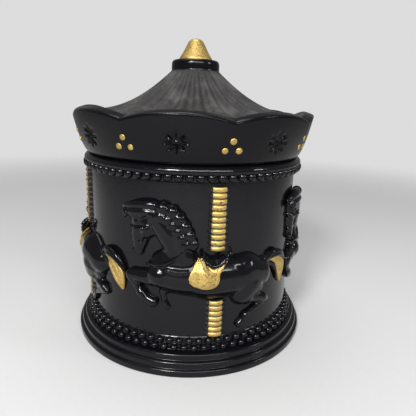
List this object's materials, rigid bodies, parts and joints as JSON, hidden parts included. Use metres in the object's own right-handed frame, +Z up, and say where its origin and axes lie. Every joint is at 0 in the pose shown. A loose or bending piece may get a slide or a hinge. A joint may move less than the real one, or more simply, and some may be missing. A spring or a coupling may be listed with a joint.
{
  "type": "wind up music box",
  "caption": "Round carousel music box with galloping horses in relief, a beaded rim, a scalloped tent-roof lid that lifts off, and a key-wound comb movement inside the base.",
  "frame": {"origin": "centre of the underside of the plinth", "axes": "+Z up along the jar's axis, -Y towards pole 1, between the head and the tail of horse 1; the horses face clockwise seen from above"},
  "size_m": [0.0978, 0.0978, 0.1182],
  "materials": {
    "black_lacquer": "high-gloss black lacquer on cast resin",
    "satin_black": "black lacquer, glossy on the valance and satin on the roof, on cast resin",
    "gold_paint": "metallic gold paint, brushed on by hand over cast resin",
    "base_board": "black stained fibreboard",
    "plated_steel": "bright nickel plate",
    "zinc_casting": "plain die-cast zinc",
    "spring_steel": "ground and hardened steel",
    "brass": "stamped and turned brass"
  },
  "bodies": {
    "jar": {"jar_body": "black_lacquer", "plinth_beads_lower": "black_lacquer", "plinth_beads_upper": "black_lacquer", "rim_band": "black_lacquer", "rim_beads": "black_lacquer", "horse_1": "black_lacquer", "horse_2": "black_lacquer", "horse_3": "black_lacquer", "horse_4": "black_lacquer", "saddle_1": "gold_paint", "saddle_2": "gold_paint", "saddle_3": "gold_paint", "saddle_4": "gold_paint", "tail_1": "gold_paint", "tail_2": "gold_paint", "tail_3": "gold_paint", "tail_4": "gold_paint", "pole_1": "gold_paint", "pole_2": "gold_paint", "pole_3": "gold_paint", "pole_4": "gold_paint", "base_plate": "base_board", "base_screws": "plated_steel", "movement_screws": "plated_steel", "bedplate": "zinc_casting", "spring_housing": "zinc_casting", "mainspring": "spring_steel", "bearing_left": "brass", "bearing_right": "brass", "comb": "spring_steel", "comb_screws": "plated_steel", "governor_frame": "brass"},
    "lid": {"lid": "satin_black", "finial": "gold_paint", "lid_dots": "gold_paint"},
    "key_train": {"winding_key": "plated_steel", "winding_arbor": "spring_steel", "drive_gear": "brass"},
    "cylinder": {"cylinder_drum": "brass", "cylinder_pins": "spring_steel", "cylinder_arbor": "spring_steel", "cylinder_pinion": "brass", "cylinder_wheel": "brass"},
    "governor_gear": {"governor_arbor": "spring_steel", "worm_wheel": "brass"},
    "governor_spindle": {"governor_worm": "spring_steel", "governor_fan": "brass"}
  },
  "joints": [
    {"name": "lid_lift", "type": "slide", "parent": "jar", "child": "lid", "axis": [0, 0, 1], "range_m": [0, 0.03]},
    {"name": "key_turn", "type": "hinge", "parent": "jar", "child": "key_train", "pos_m": [-0.013, 0, 0.02], "axis": [0, 0, 1], "continuous": true},
    {"name": "cylinder_turn", "type": "hinge", "parent": "jar", "child": "cylinder", "pos_m": [0, 0, 0.0305], "axis": [1, 0, 0], "continuous": true},
    {"name": "governor_gear_turn", "type": "hinge", "parent": "jar", "child": "governor_gear", "pos_m": [0.0265, -0.0105, 0.0305], "axis": [1, 0, 0], "continuous": true},
    {"name": "governor_spin", "type": "hinge", "parent": "jar", "child": "governor_spindle", "pos_m": [0.0283, -0.0177, 0.0305], "axis": [0, 0, 1], "continuous": true}
  ],
  "couplings": [
    {"joint": "cylinder_turn", "follows": "key_turn", "ratio": -2.1429},
    {"joint": "governor_gear_turn", "follows": "key_turn", "ratio": 6.8571},
    {"joint": "governor_spin", "follows": "key_turn", "ratio": 123.43}
  ]
}
